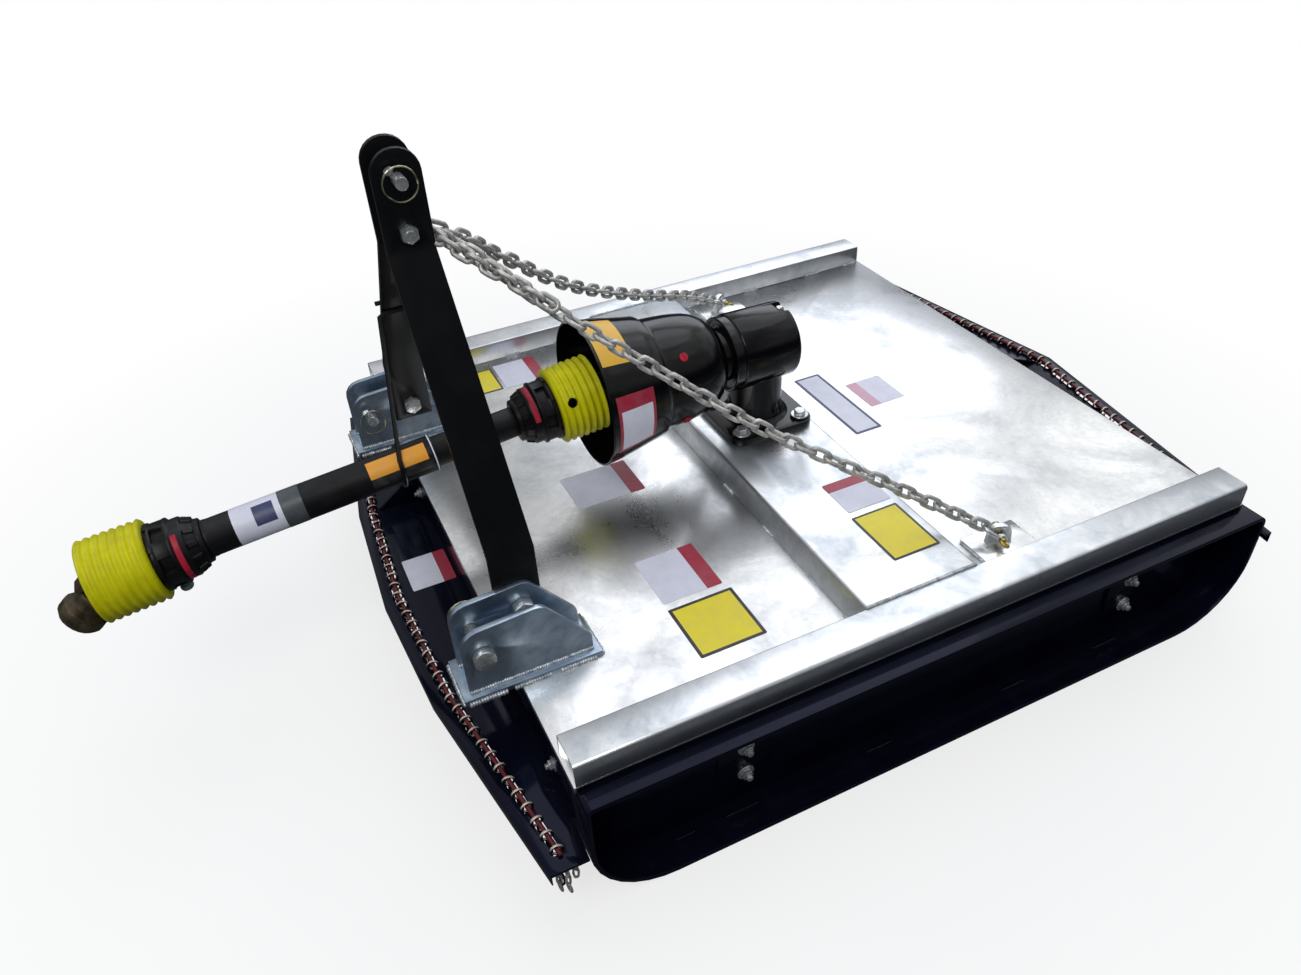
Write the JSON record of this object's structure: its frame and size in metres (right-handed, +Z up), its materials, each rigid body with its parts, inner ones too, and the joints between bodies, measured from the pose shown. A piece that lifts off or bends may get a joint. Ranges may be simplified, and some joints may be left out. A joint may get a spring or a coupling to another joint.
{
  "type": "rotary slasher",
  "caption": "Tractor-mounted rotary slasher: flat sheet deck on side skids, chain curtains, linkage mast with check chains, gearbox, guarded telescopic shaft and swinging blades under the deck.",
  "frame": {"origin": "middle of the bounding box's footprint, on the ground", "axes": "+Y to the machine's rear, away from the tractor; +X to the machine's left side seen from the tractor's seat looking back, the camera's side; +Z up"},
  "size_m": [1.3, 2.0252, 0.942],
  "materials": {
    "galvanised_steel": "bright hot-dip galvanised",
    "zinc_plated_steel": "zinc plated",
    "black_enamel": "gloss black enamel",
    "satin_black_paint": "satin black paint",
    "gearbox_black": "gloss black paint on a casting",
    "black_plastic": "moulded, matt",
    "yellow_plastic": "moulded, ribbed",
    "oiled_steel": "dark oiled steel",
    "chain_steel": "dull galvanised"
  },
  "bodies": {
    "frame": {"chain_lug_left": "galvanised_steel", "chain_lug_right": "galvanised_steel", "check_chain_left": "chain_steel", "check_chain_right": "chain_steel", "deck_sheet": "galvanised_steel", "front_curtain": "chain_steel", "front_guard": "black_enamel", "front_panel": "black_enamel", "gearbox": "gearbox_black", "gearbox_channel": "galvanised_steel", "hitch_bracket_left": "galvanised_steel", "hitch_bracket_right": "galvanised_steel", "input_shield": "gearbox_black", "lower_pin_left": "zinc_plated_steel", "lower_pin_right": "zinc_plated_steel", "mast_bar_left": "satin_black_paint", "mast_bar_right": "satin_black_paint", "mast_foot_bolt_left": "zinc_plated_steel", "mast_foot_bolt_right": "zinc_plated_steel", "mast_tie_bolt": "zinc_plated_steel", "rear_curtain": "chain_steel", "rear_guard": "black_enamel", "rear_panel": "black_enamel", "shackle_left": "zinc_plated_steel", "shackle_right": "zinc_plated_steel", "side_rail_left": "galvanised_steel", "side_rail_right": "galvanised_steel", "side_skirt_left": "black_enamel", "side_skirt_right": "black_enamel", "skid_left": "black_enamel", "skid_right": "black_enamel", "top_link_pin": "zinc_plated_steel"},
    "rotor": {"rotor": "black_enamel"},
    "blade_a": {"blade_a": "oiled_steel"},
    "blade_b": {"blade_b": "oiled_steel"},
    "input_shaft": {"input_yoke": "oiled_steel"},
    "rear_drive": {"rear_cone": "yellow_plastic", "rear_collar": "black_plastic", "inner_tube": "black_plastic"},
    "rear_yoke": {"rear_shaft_yoke": "oiled_steel"},
    "front_drive": {"outer_tube": "black_plastic", "front_collar": "black_plastic", "front_cone": "yellow_plastic"},
    "front_yoke": {"front_shaft_yoke": "oiled_steel"},
    "tractor_yoke": {"tractor_yoke": "oiled_steel"},
    "hook": {"shaft_hook": "satin_black_paint"}
  },
  "joints": [
    {"name": "rotor_spin", "type": "hinge", "parent": "frame", "child": "rotor", "pos_m": [0, 0.2316, 0.12], "axis": [0, 0, 1], "continuous": true},
    {"name": "blade_a_swing", "type": "hinge", "parent": "rotor", "child": "blade_a", "pos_m": [0.205, 0.2316, 0.1], "axis": [0, 0, 1], "range_deg": [-115, 115]},
    {"name": "blade_b_swing", "type": "hinge", "parent": "rotor", "child": "blade_b", "pos_m": [-0.205, 0.2316, 0.1], "axis": [0, 0, 1], "range_deg": [-115, 115]},
    {"name": "input_spin", "type": "hinge", "parent": "frame", "child": "input_shaft", "pos_m": [0, -0.1144, 0.45], "axis": [0, 1, 0], "continuous": true},
    {"name": "shaft_lift", "type": "hinge", "parent": "frame", "child": "rear_drive", "pos_m": [0, -0.1144, 0.45], "axis": [-1, 0, 0], "range_deg": [0, 18]},
    {"name": "rear_yoke_spin", "type": "hinge", "parent": "rear_drive", "child": "rear_yoke", "pos_m": [0, -0.1144, 0.45], "axis": [0, 0.9954, 0.0958], "continuous": true},
    {"name": "shaft_slide", "type": "slide", "parent": "rear_drive", "child": "front_drive", "axis": [0, -0.9954, -0.0958], "range_m": [-0.05, 0.2]},
    {"name": "front_yoke_spin", "type": "hinge", "parent": "front_drive", "child": "front_yoke", "pos_m": [0, -0.9186, 0.3726], "axis": [0, 0.9954, 0.0958], "continuous": true},
    {"name": "tractor_yoke_bend", "type": "hinge", "parent": "front_yoke", "child": "tractor_yoke", "pos_m": [0, -0.9186, 0.3726], "axis": [-1, 0, 0], "range_deg": [0, 70]},
    {"name": "hook_swing", "type": "hinge", "parent": "frame", "child": "hook", "pos_m": [-0.1652, -0.3684, 0.6211], "axis": [0, -1, 0], "range_deg": [0, 27]}
  ],
  "couplings": [
    {"joint": "input_spin", "follows": "rotor_spin", "ratio": 0.51852},
    {"joint": "rear_yoke_spin", "follows": "rotor_spin", "ratio": 0.51852},
    {"joint": "front_yoke_spin", "follows": "rotor_spin", "ratio": 0.51852},
    {"joint": "hook_swing", "follows": "shaft_lift", "ratio": 1.5}
  ]
}
